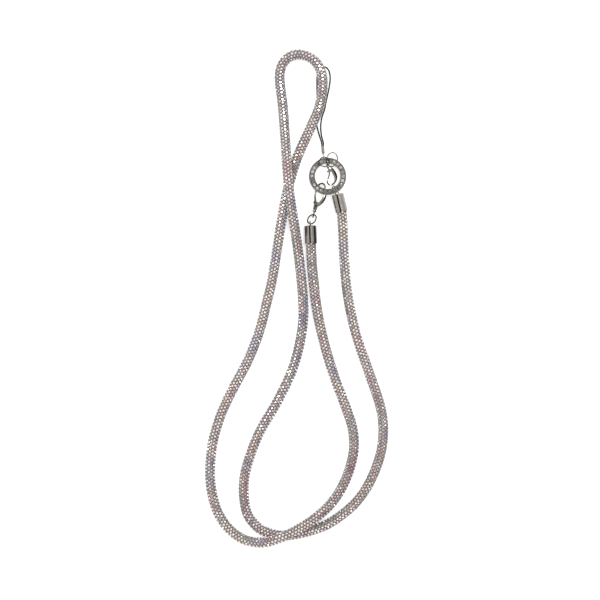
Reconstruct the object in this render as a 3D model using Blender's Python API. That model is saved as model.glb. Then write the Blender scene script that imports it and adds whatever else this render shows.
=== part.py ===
"""Phone crossbody strap: a stone-covered rope, its end caps, ring and clasps, lying on a flat surface.

Units are metres, +Z is up, and the origin is the middle of the underside. The places below are measured from
a point near that middle, and everything hangs on one empty that moves the true middle to the origin.
"""

import math

import bmesh
import bpy
import numpy as np
from mathutils import Matrix, Vector

MM = 0.001

# Rope
ROPE_DIAMETER = 7.0 * MM
ROPE_SAG = 0.5 * MM
ROPE_LONGEST_STEP = 2.6 * ROPE_DIAMETER
ROPE_END_GAP = 0.3 * MM
# Where the rope's middle runs: x and y in mm, and its lift off the surface in rope diameters.
# The first list goes from the left cap to the top of the upper loop, the second from there to the right cap.
ROPE_ROUTE_A = (
    (9.9, 22.4, 0.0),
    (11.3, 8.0, 0.0),
    (12.7, -4.3, 0.0),
    (15.0, -17.5, 0.0),
    (19.8, -37.0, 0.0),
    (25.9, -56.2, 0.0),
    (33.0, -75.0, 0.0),
    (37.0, -87.8, 0.0),
    (37.9, -101.0, 0.0),
    (35.3, -113.8, 0.02),
    (30.3, -126.2, 0.12),
    (23.0, -137.1, 0.38),
    (13.1, -146.3, 0.75),
    (2.3, -153.4, 1.0),
    (-9.7, -159.3, 1.14),
    (-22.7, -163.3, 0.85),
    (-35.4, -161.7, 0.38),
    (-45.7, -154.7, 0.08),
    (-53.1, -143.8, 0.0),
    (-57.0, -130.9, 0.0),
    (-58.3, -117.4, 0.0),
    (-56.5, -97.2, 0.0),
    (-50.8, -77.9, 0.0),
    (-42.1, -59.6, 0.0),
    (-33.3, -42.9, 0.0),
    (-25.1, -22.1, 0.0),
    (-20.4, -3.5, 0.0),
    (-17.2, 9.6, 0.0),
    (-13.9, 29.6, 0.0),
    (-10.8, 49.5, 0.0),
    (-7.2, 68.3, 0.0),
    (-3.7, 81.7, 0.0),
    (0.6, 94.8, 0.03),
    (6.0, 107.0, 0.12),
    (10.6, 116.9, 0.18),
    (14.2, 125.4, 0.18),
    (16.4, 135.3, 0.18),
    (17.0, 145.0, 0.18),
    (15.6, 151.6, 0.18),
    (12.5, 157.1, 0.17),
    (7.4, 160.9, 0.1),
    (0.9, 162.5, 0.03),
)
ROPE_ROUTE_B = (
    (0.9, 162.5, 0.03),
    (-5.5, 160.7, 0.0),
    (-9.9, 155.8, 0.0),
    (-11.7, 149.3, 0.0),
    (-11.5, 142.6, 0.0),
    (-9.7, 128.0, 0.0),
    (-8.3, 109.3, 0.15),
    (-7.4, 95.9, 0.6),
    (-6.6, 85.1, 0.96),
    (-5.7, 74.4, 1.14),
    (-4.3, 63.0, 1.0),
    (-2.1, 49.3, 0.66),
    (-0.1, 36.0, 0.24),
    (1.6, 22.8, 0.04),
    (3.0, 9.4, 0.0),
    (4.0, -3.8, 0.0),
    (3.8, -17.2, 0.0),
    (-1.6, -43.7, 0.0),
    (-12.5, -68.2, 0.0),
    (-25.8, -91.5, 0.0),
    (-34.6, -116.6, 0.0),
    (-35.8, -130.0, 0.0),
    (-33.9, -143.4, 0.0),
    (-30.6, -149.3, 0.0),
    (-25.6, -154.3, 0.0),
    (-19.6, -157.4, 0.0),
    (-11.4, -159.2, 0.0),
    (-0.7, -158.3, 0.0),
    (18.4, -152.7, 0.0),
    (29.6, -145.7, 0.0),
    (39.5, -136.9, 0.0),
    (47.2, -126.1, 0.0),
    (52.8, -114.0, 0.0),
    (56.5, -101.2, 0.0),
    (57.6, -88.0, 0.0),
    (56.0, -74.6, 0.0),
    (47.6, -49.1, 0.0),
    (39.1, -23.8, 0.0),
    (33.6, 2.5, 0.0),
    (31.2, 29.3, 0.0),
    (30.7, 42.7, 0.03),
)

# End caps
CAP_WALL = 0.45 * MM
CAP_ROPE_GAP = 0.3 * MM
CAP_LENGTH = 11.9 * MM
CAP_TOP = 1.5 * MM
CAP_EDGE = 0.35 * MM
CAP_SIDES = 24
CAP_BORE = ROPE_DIAMETER + 2 * CAP_ROPE_GAP
CAP_DIAMETER = CAP_BORE + 2 * CAP_WALL
LEFT_CAP_MOUTH = (9.25 * MM, 36.0 * MM)
LEFT_CAP_HEADING = math.radians(92.5)
RIGHT_CAP_MOUTH = (29.6 * MM, 57.2 * MM)
RIGHT_CAP_HEADING = math.radians(103.0)
CAP_EYE_RADIUS = 1.7 * MM
CAP_EYE_WIRE = 0.5 * MM

# Studded ring
RING_CAP_GAP = 1.2984 * MM
RING_FROM_CAP = math.radians(118.6847)
RING_DIAMETER = 25.0 * MM
RING_BAND = 4.0 * MM
RING_THICKNESS = 2.2 * MM
RING_RIM = 0.7 * MM
RING_CHANNEL = 1.0 * MM
RING_SIDES = 64
STONE_GAP = 0.25 * MM
STONE_PITCH = 3.0 * MM
STONE_BACK_SHARE = 0.45
STONE_TABLE_SHARE = 0.58

# Wire and links
LINK_GAP = 0.3 * MM
JUMP_WIRE = 0.5 * MM
JUMP_LEAN = math.radians(40)
SMALL_RING_RADIUS = 3.45 * MM
SMALL_RING_WIRE = 0.36 * MM
SMALL_RING_REACH = 9.72 * MM
SMALL_RING_ANGLE = math.radians(102.7)
SMALL_RING_RISE = 3.05 * MM
SMALL_RING_LEAN = math.radians(16)
SMALL_RING_LEAN_TO = math.radians(64.5)
THIN_RING_RADIUS = 4.75 * MM
THIN_RING_WIRE = 0.36 * MM
THIN_RING_REACH = 11.55 * MM
THIN_RING_ANGLE = math.radians(75)
THIN_RING_LEAN = math.radians(41.5)
THIN_RING_RISE = 0.3 * MM
BAIL_WIRE = 0.42 * MM
BAIL_GAP = 0.3 * MM
BAIL_LEAN = math.radians(28)
BAIL_CORNER = 1.0 * MM

# Strap clasp: where its hook holds the ring's band, its heading, and its sections as shares of its length
CLASP_LENGTH = 16.45 * MM
CLASP_HEADING = math.radians(76.4)
CLASP_HOOK_INSET = 1.4412 * MM
CLASP_HOOK_ANGLE = math.radians(-117.9795)
CLASP_HOOK_ALONG = 0.76
# Columns: across, along, radius
CLASP_SECTIONS = (
    (-0.066, 0.03, 0.085),
    (0.05, 0.085, 0.082),
    (0.18, 0.2, 0.08),
    (0.262, 0.35, 0.079),
    (0.282, 0.51, 0.069),
    (0.246, 0.645, 0.05),
    (0.205, 0.76, 0.042),
    (0.146, 0.904, 0.04),
    (0.0, 0.965, 0.04),
    (-0.146, 0.904, 0.038),
    (-0.205, 0.76, 0.037),
    (-0.237, 0.66, 0.036),
    (-0.248, 0.585, 0.034),
    (-0.25, 0.522, 0.033),
)
CLASP_PIVOT = (-0.1, 0.13)
CLASP_LEVER = (
    (-0.1, 0.13, 0.045),
    (-0.165, 0.25, 0.04),
    (-0.222, 0.38, 0.036),
    (-0.25, 0.5, 0.033),
)
CLASP_TAB = (
    (-0.12, 0.16, 0.034),
    (-0.215, 0.175, 0.032),
)
SWIVEL_COLLAR = 1.3 * MM
SWIVEL_NECK = 0.6 * MM
SWIVEL_SOCKET = 1.4 * MM
SWIVEL_EYE_RADIUS = 1.9 * MM
SWIVEL_EYE_WIRE = 0.5 * MM

# Small clasp, whose sections are shares of its length from the middle of its eye
SMALL_CLASP_LENGTH = 13.7 * MM
SMALL_CLASP_HEADING = math.radians(-74)
SMALL_CLASP_DIP = math.radians(17)
SMALL_CLASP_LINK_ANGLE = math.radians(-60)
SMALL_CLASP_EYE_RADIUS = 1.3 * MM
SMALL_CLASP_EYE_WIRE = 0.4 * MM
SMALL_CLASP_SECTIONS = (
    (0.0, 0.075, 0.05),
    (0.07, 0.13, 0.082),
    (0.14, 0.19, 0.095),
    (0.205, 0.31, 0.092),
    (0.247, 0.47, 0.097),
    (0.262, 0.62, 0.088),
    (0.222, 0.77, 0.066),
    (0.12, 0.9, 0.047),
    (-0.03, 0.955, 0.041),
    (-0.165, 0.9, 0.039),
    (-0.205, 0.78, 0.037),
    (-0.175, 0.69, 0.034),
)
SMALL_CLASP_PIVOT = (0.045, 0.245)
SMALL_CLASP_LEVER = (
    (0.045, 0.245, 0.045),
    (0.015, 0.35, 0.036),
    (-0.04, 0.49, 0.033),
    (-0.142, 0.638, 0.031),
)
SMALL_CLASP_TAB = (
    (0.03, 0.26, 0.034),
    (-0.085, 0.27, 0.034),
)

# Lever pivots
PIN_RADIUS = 0.3 * MM
PIN_GAP = 0.15 * MM
CHEEK_GAP = 0.15 * MM
CHEEK_WALL = 0.4 * MM
CHEEK_RIM = 0.25 * MM

# Crimp and black cord
CRIMP_LENGTH = 5.0 * MM
CRIMP_DIAMETER = 2.2 * MM
CRIMP_NECK = 2.3 * MM
CRIMP_EYE_RADIUS = 0.96 * MM
CRIMP_EYE_WIRE = 0.27 * MM
CRIMP_DIP = math.radians(16)
CRIMP_HEADING = math.radians(93.8)
CRIMP_LINK_ANGLE = math.radians(98)
CORD_DIAMETER = 1.0 * MM
CORD_POINT_SPACING = 3 * CORD_DIAMETER / 2
# Where the cord's middle runs between its two ends in the crimp: x and y in mm
CORD_ROUTE = (
    (16.5, 107.2),
    (15.9, 111.0),
    (15.8, 115.4),
    (16.6, 120.6),
    (18.3, 125.6),
    (19.3, 130.7),
    (20.3, 135.3),
    (21.3, 139.9),
    (22.0, 144.9),
    (22.0, 148.6),
    (21.2, 151.9),
    (19.2, 154.1),
    (16.6, 154.2),
    (14.5, 152.0),
    (13.4, 148.0),
    (13.2, 142.0),
    (13.3, 137.0),
    (13.1, 131.5),
    (12.6, 126.4),
    (12.3, 121.4),
    (12.7, 117.2),
    (13.6, 112.9),
    (14.9, 108.0),
)

# Heights that follow from the sizes
ROPE_RADIUS = ROPE_DIAMETER / 2
CAP_HEIGHT = CAP_DIAMETER / 2
HOOK_WIRE = CLASP_SECTIONS[7][2] * CLASP_LENGTH
HOOK_RADIUS = CLASP_SECTIONS[6][0] * CLASP_LENGTH
CLASP_ROLL = math.asin((RING_THICKNESS / 2 + HOOK_WIRE + 1.5 * LINK_GAP) / HOOK_RADIUS)
LEVER_DEPTH = -CLASP_LEVER[3][0] * CLASP_LENGTH * math.sin(CLASP_ROLL) + CLASP_LEVER[3][2] * CLASP_LENGTH
RING_HEIGHT = LEVER_DEPTH + LINK_GAP / 2
RING_TOP = RING_HEIGHT + RING_THICKNESS / 2
CORD_HEIGHT = CORD_DIAMETER / 2 + 0.05 * MM


def clear_scene():
    for thing in list(bpy.data.objects):
        bpy.data.objects.remove(thing, do_unlink=True)


def material(name, colour, metallic, roughness):
    made = bpy.data.materials.new(name)
    made.use_nodes = True
    shader = made.node_tree.nodes["Principled BSDF"]
    shader.inputs["Base Color"].default_value = (*colour, 1.0)
    shader.inputs["Metallic"].default_value = metallic
    shader.inputs["Roughness"].default_value = roughness
    return made


def between(first, last, start, end, at):
    return ((end - at) * first + (at - start) * last) / (end - start)


def smooth_line(rows, spacing):
    """Evenly spaced rows on one smooth curve through the given rows of x, y, z and any further columns."""
    rows = np.array(rows, float)
    rows = np.vstack([2 * rows[0] - rows[1], rows, 2 * rows[-1] - rows[-2]])
    steps = np.sqrt(np.linalg.norm(np.diff(rows[:, :3], axis=0), axis=1))
    knots = np.concatenate([[0.0], np.cumsum(steps)])
    fine = []
    for i in range(1, len(rows) - 2):
        near = rows[i - 1 : i + 3]
        knot = knots[i - 1 : i + 3]
        for at in np.linspace(knot[1], knot[2], 16, endpoint=False):
            firsts = [between(near[j], near[j + 1], knot[j], knot[j + 1], at) for j in range(3)]
            seconds = [between(firsts[j], firsts[j + 1], knot[j], knot[j + 2], at) for j in range(2)]
            fine.append(between(seconds[0], seconds[1], knot[1], knot[2], at))
    fine.append(rows[-2])
    fine = np.array(fine)
    along = np.concatenate([[0.0], np.cumsum(np.linalg.norm(np.diff(fine[:, :3], axis=0), axis=1))])
    even = np.linspace(0.0, along[-1], max(2, round(along[-1] / spacing)) + 1)
    return np.stack([np.interp(even, along, fine[:, k]) for k in range(fine.shape[1])], axis=1)


def heading(angle, dip=0.0):
    return Vector((math.cos(angle) * math.cos(dip), math.sin(angle) * math.cos(dip), -math.sin(dip)))


def frame(origin, along, up):
    """A matrix whose Z runs along a direction and whose Y is as near up as it can be."""
    z = Vector(along).normalized()
    x = Vector(up).cross(z).normalized()
    y = z.cross(x)
    turned_to = Matrix((x, y, z)).transposed().to_4x4()
    return Matrix.Translation(origin) @ turned_to


def add_object(name, data, finish, matrix=None):
    made = bpy.data.objects.new(name, data)
    bpy.context.collection.objects.link(made)
    made.data.materials.clear()
    made.data.materials.append(finish)
    if matrix is not None:
        made.matrix_world = matrix
    return made


def closed_mesh(name, bm):
    """The mesh of a bmesh, with its doubles merged and its faces out."""
    bmesh.ops.remove_doubles(bm, verts=bm.verts, dist=1e-7)
    bmesh.ops.dissolve_degenerate(bm, edges=bm.edges, dist=1e-7)
    bmesh.ops.recalc_face_normals(bm, faces=bm.faces)
    mesh = bpy.data.meshes.new(name)
    bm.to_mesh(mesh)
    bm.free()
    mesh.shade_smooth()
    mesh.set_sharp_from_angle(angle=math.radians(40))
    return mesh


def turned(name, profile, sides, ring=False):
    """A mesh turned round Z from rows of radius and height, closed on itself when it is a ring's section."""
    bm = bmesh.new()
    points = [bm.verts.new((radius, 0.0, height)) for radius, height in profile]
    edges = [bm.edges.new(pair) for pair in zip(points, points[1:])]
    if ring:
        edges.append(bm.edges.new((points[-1], points[0])))
    bmesh.ops.spin(
        bm, geom=points + edges, cent=(0, 0, 0), axis=(0, 0, 1), angle=math.tau, steps=sides, use_merge=True
    )
    return closed_mesh(name, bm)


def wire_ring(name, radius, wire, sides, wire_sides):
    """A round ring in the XY plane."""
    section = [
        (radius + wire * math.cos(math.tau * k / wire_sides), wire * math.sin(math.tau * k / wire_sides))
        for k in range(wire_sides)
    ]
    return turned(name, section, sides, ring=True)


def tube_curve(name, rows, resolution):
    """A round tube with filled ends along rows of x, y, z and radius."""
    curve = bpy.data.curves.new(name, "CURVE")
    curve.dimensions = "3D"
    curve.bevel_depth = 1.0
    curve.bevel_resolution = resolution
    curve.use_fill_caps = True
    spline = curve.splines.new("POLY")
    spline.points.add(len(rows) - 1)
    for point, (x, y, z, radius) in zip(spline.points, rows):
        point.co = (x, y, z, 1.0)
        point.radius = radius
    return curve


def rod(name, rows, resolution=2):
    """The closed mesh of a tube along rows of x, y, z and radius, for joining with others."""
    curve = tube_curve(name + "_line", rows, resolution)
    holder = bpy.data.objects.new(name + "_line", curve)
    mesh = bpy.data.meshes.new_from_object(holder)
    bpy.data.objects.remove(holder)
    bm = bmesh.new()
    bm.from_mesh(mesh)
    return closed_mesh(name, bm)


def helper(name, mesh, matrix=None):
    """A shape that only cuts or joins another."""
    made = bpy.data.objects.new(name, mesh)
    bpy.context.collection.objects.link(made)
    made.hide_render = True
    made.display_type = "WIRE"
    if matrix is not None:
        made.matrix_world = matrix
    return made


def combine(body, other, operation, solver="EXACT"):
    modifier = body.modifiers.new(operation.lower() + "_" + other.name, "BOOLEAN")
    modifier.operation = operation
    modifier.object = other
    modifier.solver = solver


def cap_end(mouth, angle, depth):
    """A point on a cap's axis, that far in from its mouth."""
    return Vector((*mouth, CAP_HEIGHT)) + heading(angle) * depth


def by_turning(line, sag, longest):
    """The points of a fine line that keep straight pieces within that sag of it, and no longer than that."""
    steps = np.diff(line, axis=0)
    lengths = np.linalg.norm(steps, axis=1)
    ways = steps / lengths[:, None]
    bends = np.linalg.norm(np.diff(ways, axis=0), axis=1) / lengths[1:]
    bends = np.convolve(np.concatenate([bends[:1], bends]), np.full(9, 1 / 9), "same")
    crowding = np.maximum(1 / longest, np.sqrt(bends / (8 * sag)))
    counted = np.concatenate([[0.0], np.cumsum(lengths * crowding)])
    even = np.linspace(0.0, counted[-1], max(1, round(counted[-1])) + 1)
    return np.stack([np.interp(even, counted, line[:, k]) for k in range(3)], axis=1)


def cap_entry(mouth, angle):
    """Rows on a cap's axis, from the rope's end inside the cap to its mouth."""
    depth = CAP_LENGTH - CAP_TOP - ROPE_END_GAP
    return [tuple(cap_end(mouth, angle, share * depth)) for share in (1.0, 0.5, 0.0)]


def rope_line():
    """The rope's whole line, finely, from its end in the left cap to its end in the right one."""
    lifted = ROPE_ROUTE_A + ROPE_ROUTE_B[1:]
    route = [(x * MM, y * MM, ROPE_RADIUS + lift * ROPE_DIAMETER) for x, y, lift in lifted]
    first = cap_entry(LEFT_CAP_MOUTH, LEFT_CAP_HEADING)
    last = cap_entry(RIGHT_CAP_MOUTH, RIGHT_CAP_HEADING)
    line = smooth_line(first + route + last[::-1], MM)
    line[:, 2] = np.maximum(line[:, 2], ROPE_RADIUS)
    return line


def rope_lines():
    """The rope's two lines, which meet with square ends and a small gap at the top of the upper loop."""
    line = rope_line()
    caps = ((LEFT_CAP_MOUTH, LEFT_CAP_HEADING), (RIGHT_CAP_MOUTH, RIGHT_CAP_HEADING))
    mouths = [np.array(cap_end(mouth, angle, 0.0)) for mouth, angle in caps]
    entry, leaving = [int(np.argmin(np.linalg.norm(line - mouth, axis=1))) for mouth in mouths]
    farthest = [int(place) for place in (*np.argmin(line[:, :2], axis=0), *np.argmax(line, axis=0))]
    kept = sorted({0, entry, leaving, len(line) - 1, *farthest})
    spans = [by_turning(line[i : j + 1], ROPE_SAG, ROPE_LONGEST_STEP) for i, j in zip(kept, kept[1:])]
    points = np.vstack([spans[0]] + [span[1:] for span in spans[1:]])
    top = int(np.argmax(points[:, 1]))
    way = points[top + 1] - points[top - 1]
    way /= np.linalg.norm(way)
    meeting = [points[top] + way * share * ROPE_END_GAP for share in (-4.0, -0.5, 0.5, 4.0)]
    return np.vstack([points[:top], meeting[:2]]), np.vstack([meeting[2:], points[top + 1 :]])


def make_rope(finish):
    for name, line in zip(("strap_rope_a", "strap_rope_b"), rope_lines()):
        rows = [(*row, ROPE_RADIUS) for row in line]
        add_object(name, tube_curve(name, rows, 4), finish)


def cap_mesh(name):
    radius = CAP_DIAMETER / 2
    bore = CAP_BORE / 2
    profile = (
        (0.0, CAP_LENGTH - CAP_TOP),
        (bore, CAP_LENGTH - CAP_TOP),
        (bore, 0.0),
        (radius, 0.0),
        (radius, CAP_LENGTH - CAP_EDGE),
        (radius - CAP_EDGE, CAP_LENGTH),
        (0.0, CAP_LENGTH),
    )
    return turned(name, profile, CAP_SIDES)


def make_left_cap(finish):
    """The cap with a standing eye on its top. Returns the eye's middle."""
    place = frame(cap_end(LEFT_CAP_MOUTH, LEFT_CAP_HEADING, 0.0), heading(LEFT_CAP_HEADING), (0, 0, 1))
    cap = add_object("end_cap_left", cap_mesh("end_cap_left"), finish, place)
    eye_at = cap_end(LEFT_CAP_MOUTH, LEFT_CAP_HEADING, CAP_LENGTH + CAP_EYE_RADIUS - CAP_EYE_WIRE)
    eye = wire_ring("cap_eye", CAP_EYE_RADIUS, CAP_EYE_WIRE, 20, 8)
    sideways = Vector((0, 0, 1)).cross(heading(LEFT_CAP_HEADING))
    combine(cap, helper("cap_eye", eye, frame(eye_at, sideways, (0, 0, 1))), "UNION")
    return eye_at


def make_right_cap(finish):
    """The cap with a long leaning bail on its top, which goes round the studded ring's band."""
    place = frame(cap_end(RIGHT_CAP_MOUTH, RIGHT_CAP_HEADING, 0.0), heading(RIGHT_CAP_HEADING), (0, 0, 1))
    cap = add_object("end_cap_right", cap_mesh("end_cap_right"), finish, place)
    top = cap_end(RIGHT_CAP_MOUTH, RIGHT_CAP_HEADING, CAP_LENGTH)
    centre = ring_point(0.0, 0.0, RING_HEIGHT)
    out = Vector((top.x - centre.x, top.y - centre.y, 0.0))
    far = out.length + CAP_TOP / 2
    out.normalize()
    lean = Vector((-out.y, out.x, 0.0)) * math.sin(BAIL_LEAN) + Vector((0, 0, math.cos(BAIL_LEAN)))
    half = (RING_THICKNESS / 2 + LINK_GAP + BAIL_WIRE) / math.cos(BAIL_LEAN)
    near = RING_DIAMETER / 2 - RING_BAND - BAIL_GAP - BAIL_WIRE
    corner = [math.radians(a) for a in (0, 22.5, 45, 67.5, 90)]
    turn = [
        (near + BAIL_CORNER * (1 - math.sin(a)), half - BAIL_CORNER * (1 - math.cos(a))) for a in corner
    ]
    path = [(far, half)] + turn + [(reach, -side) for reach, side in reversed(turn)] + [(far, -half)]
    rows = [(*(centre + out * reach + lean * side), BAIL_WIRE) for reach, side in path]
    combine(cap, helper("cap_bail", rod("cap_bail", rows)), "UNION")


def ring_point(reach, angle, height):
    """A point over the studded ring, that far from its middle. The ring's rim lies near the right cap."""
    tip = cap_end(RIGHT_CAP_MOUTH, RIGHT_CAP_HEADING, CAP_LENGTH)
    middle = tip + heading(RING_FROM_CAP) * (RING_DIAMETER / 2 + RING_CAP_GAP)
    point = middle + heading(angle) * reach
    return Vector((point.x, point.y, height))


def make_studded_ring(finish):
    outer = RING_DIAMETER / 2
    inner = outer - RING_BAND
    half = RING_THICKNESS / 2
    floor = half - RING_CHANNEL
    profile = (
        (inner, -half),
        (outer, -half),
        (outer, half),
        (outer - RING_RIM, half),
        (outer - RING_RIM, floor),
        (inner + RING_RIM, floor),
        (inner + RING_RIM, half),
        (inner, half),
    )
    mesh = turned("studded_ring", profile, RING_SIDES, ring=True)
    add_object("studded_ring", mesh, finish, Matrix.Translation(ring_point(0.0, 0.0, RING_HEIGHT)))


def make_stones(finish):
    """Eight-sided cut stones in the ring's channel, with a table on top and a flat back."""
    middle = RING_DIAMETER / 2 - RING_BAND / 2
    radius = RING_BAND / 2 - RING_RIM - STONE_GAP
    tall = RING_CHANNEL - STONE_GAP
    girdle = tall * STONE_BACK_SHARE
    profile = (
        (0.0, 0.0),
        (radius * STONE_TABLE_SHARE, 0.0),
        (radius, girdle),
        (radius, girdle + 0.1 * tall),
        (radius * STONE_TABLE_SHARE, tall),
        (0.0, tall),
    )
    mesh = turned("ring_stone", profile, 8)
    count = round(math.tau * middle / STONE_PITCH)
    bottom = RING_TOP - RING_CHANNEL + STONE_GAP
    for k in range(count):
        place = Matrix.Translation(ring_point(middle, math.tau * k / count, bottom))
        add_object(f"ring_stone_{k + 1:02d}", mesh, finish, place)


def clasp_axes(angle, dip, roll, face_down):
    """A clasp's across, along and face directions as the columns of a matrix."""
    along = heading(angle, dip)
    side = Vector((math.sin(angle), -math.cos(angle), 0.0)) * (-1 if face_down else 1)
    across = side * math.cos(roll) + Vector((0, 0, math.sin(roll)))
    across = (across - along * across.dot(along)).normalized()
    face = across.cross(along)
    return Matrix((across, along, face)).transposed().to_4x4()


def scaled(sections, length):
    return [(across * length, along * length, 0.0, radius * length) for across, along, radius in sections]


def round_block(name, radius, half, sides):
    """A short cylinder round a clasp's pivot."""
    return turned(name, ((0, -half), (radius, -half), (radius, half), (0, half)), sides)


def make_clasp(name, place, length, sections, lever, tab, pivot, finish, base=None):
    """A claw, with a base that its cheeks' slot cuts too, and its lever, which turns on a pin in that slot.

    The claws curve too sharply for the exact solver, which leaves open edges on them.
    """
    spacing = length / 14
    claw = add_object(name, rod(name, smooth_line(scaled(sections, length), spacing)), finish, place)
    barrel = lever[0][2] * length
    at = place @ Matrix.Translation((pivot[0] * length, pivot[1] * length, 0.0))
    slot = barrel + CHEEK_GAP
    cheek = round_block(name + "_cheek", barrel + CHEEK_RIM, slot + CHEEK_WALL, 16)
    combine(claw, helper(name + "_cheek", cheek, at), "UNION", "MANIFOLD")
    if base:
        combine(claw, base, "UNION", "MANIFOLD")
    room = round_block(name + "_slot", barrel + CHEEK_RIM + PIN_GAP, slot, 16)
    combine(claw, helper(name + "_slot", room, at), "DIFFERENCE", "MANIFOLD")
    pin = round_block(name + "_pin", PIN_RADIUS, slot + CHEEK_WALL / 2, 12)
    combine(claw, helper(name + "_pin", pin, at), "UNION", "MANIFOLD")

    swing = name + "_lever"
    moving = add_object(swing, rod(swing, smooth_line(scaled(lever, length), spacing)), finish)
    moving.data.transform(at.inverted() @ place)
    moving.matrix_world = at
    boss = round_block(swing + "_boss", barrel, barrel, 14)
    combine(moving, helper(swing + "_boss", boss, at), "UNION", "MANIFOLD")
    grip = rod(swing + "_tab", scaled(tab, length))
    combine(moving, helper(swing + "_tab", grip, place), "UNION", "MANIFOLD")
    bore = round_block(swing + "_bore", PIN_RADIUS + PIN_GAP, 2 * barrel, 12)
    combine(moving, helper(swing + "_bore", bore, at), "DIFFERENCE", "MANIFOLD")
    return claw


def strap_clasp_place():
    axes = clasp_axes(CLASP_HEADING, 0.0, CLASP_ROLL, False)
    hook = ring_point(RING_DIAMETER / 2 - RING_BAND / 2 - CLASP_HOOK_INSET, CLASP_HOOK_ANGLE, RING_HEIGHT)
    return Matrix.Translation(hook) @ axes @ Matrix.Translation((0, -CLASP_HOOK_ALONG * CLASP_LENGTH, 0))


def make_strap_clasp(finish):
    """The swivel clasp on the strap. Returns the middle of its swivel's eye."""
    place = strap_clasp_place()
    base_across, base_along, base_radius = (share * CLASP_LENGTH for share in CLASP_SECTIONS[0])
    foot_of_stem = place @ Matrix.Translation((base_across, base_along, 0))
    stem = foot_of_stem @ Matrix.Rotation(math.radians(90), 4, "X")
    mouth = base_radius + SWIVEL_SOCKET
    top = base_along - CLASP_PIVOT[1] * CLASP_LENGTH
    socket = turned("clasp_socket", ((0, top), (base_radius, top), (base_radius, mouth), (0, mouth)), 16)
    claw = make_clasp(
        "strap_clasp", place, CLASP_LENGTH, CLASP_SECTIONS, CLASP_LEVER, CLASP_TAB, CLASP_PIVOT, finish,
        helper("clasp_socket", socket, stem)
    )
    hole = SWIVEL_NECK + LINK_GAP
    past = mouth + MM
    bore = turned("clasp_bore", ((0, base_radius), (hole, base_radius), (hole, past), (0, past)), 12)
    combine(claw, helper("clasp_bore", bore, stem), "DIFFERENCE", "MANIFOLD")

    foot = base_radius + LINK_GAP
    collar = mouth + LINK_GAP
    profile = (
        (0.0, foot),
        (SWIVEL_NECK, foot),
        (SWIVEL_NECK, collar),
        (SWIVEL_COLLAR, collar),
        (SWIVEL_COLLAR, collar + SWIVEL_COLLAR * 0.8),
        (SWIVEL_NECK, collar + SWIVEL_COLLAR * 1.2),
        (0.0, collar + SWIVEL_COLLAR * 1.2),
    )
    swivel = add_object("swivel_eye", turned("swivel_eye", profile, 14), finish, stem)
    eye_reach = collar + SWIVEL_COLLAR + SWIVEL_EYE_RADIUS
    eye_at = stem @ Vector((0, 0, eye_reach))
    down = (stem.to_3x3() @ Vector((0, 0, 1))).normalized()
    eye = wire_ring("swivel_loop", SWIVEL_EYE_RADIUS, SWIVEL_EYE_WIRE, 20, 8)
    upright = frame(eye_at, Vector((0, 0, 1)).cross(down), (0, 0, 1))
    combine(swivel, helper("swivel_loop", eye, upright), "UNION")
    return eye_at


def make_jump_ring(swivel_eye, cap_eye, finish):
    """The leaning ring between the swivel and the left cap, whose wire passes through both eyes."""
    chord = cap_eye - swivel_eye
    upright = chord.cross(Vector((0, 0, 1))).cross(chord)
    upright.rotate(Matrix.Rotation(JUMP_LEAN, 3, chord))
    place = frame((swivel_eye + cap_eye) / 2, upright, chord)
    add_object("jump_ring", wire_ring("jump_ring", chord.length / 2, JUMP_WIRE, 28, 6), finish, place)


def small_ring_place():
    """The small ring's middle and the direction of its axis."""
    centre = ring_point(SMALL_RING_REACH, SMALL_RING_ANGLE, RING_HEIGHT + SMALL_RING_RISE)
    axis = heading(SMALL_RING_LEAN_TO) * math.sin(SMALL_RING_LEAN) + Vector((0, 0, math.cos(SMALL_RING_LEAN)))
    return centre, axis


def on_small_ring(angle, outwards):
    """A point that far outside the middle of the small ring's wire, at an angle seen from above."""
    centre, axis = small_ring_place()
    level = heading(angle)
    return centre + (level - axis * level.dot(axis)).normalized() * (SMALL_RING_RADIUS + outwards)


def make_loose_rings(finish):
    """The small ring over the band, and the thin ring that leans through it and round the band."""
    centre, axis = small_ring_place()
    mesh = wire_ring("small_ring", SMALL_RING_RADIUS, SMALL_RING_WIRE, 28, 6)
    add_object("small_ring", mesh, finish, frame(centre, axis, (0, 1, 0)))
    out = heading(THIN_RING_ANGLE)
    slope = Vector((-out.y, out.x, 0.0)) * math.cos(THIN_RING_LEAN) + Vector((0, 0, math.sin(THIN_RING_LEAN)))
    centre = ring_point(THIN_RING_REACH, THIN_RING_ANGLE, RING_HEIGHT + THIN_RING_RISE)
    mesh = wire_ring("thin_ring", THIN_RING_RADIUS, THIN_RING_WIRE, 32, 6)
    add_object("thin_ring", mesh, finish, frame(centre, out.cross(slope), slope))


def make_small_clasp(finish):
    """The clasp of the cord, linked to the small ring and lying inside the studded ring."""
    eye_at = on_small_ring(SMALL_CLASP_LINK_ANGLE, 0.05 * MM)
    axes = clasp_axes(SMALL_CLASP_HEADING, SMALL_CLASP_DIP, 0.0, True)
    place = Matrix.Translation(eye_at) @ axes
    claw = make_clasp(
        "small_clasp", place, SMALL_CLASP_LENGTH, SMALL_CLASP_SECTIONS, SMALL_CLASP_LEVER, SMALL_CLASP_TAB,
        SMALL_CLASP_PIVOT, finish
    )
    eye = wire_ring("small_clasp_eye", SMALL_CLASP_EYE_RADIUS, SMALL_CLASP_EYE_WIRE, 18, 8)
    upright = place @ Matrix.Rotation(math.radians(90), 4, "Y")
    combine(claw, helper("small_clasp_eye", eye, upright), "UNION", "MANIFOLD")


def crimp_axis():
    """The middle of the crimp's eye and the direction from there down to the cord."""
    return on_small_ring(CRIMP_LINK_ANGLE, 0.2 * MM), heading(CRIMP_HEADING, CRIMP_DIP)


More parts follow.
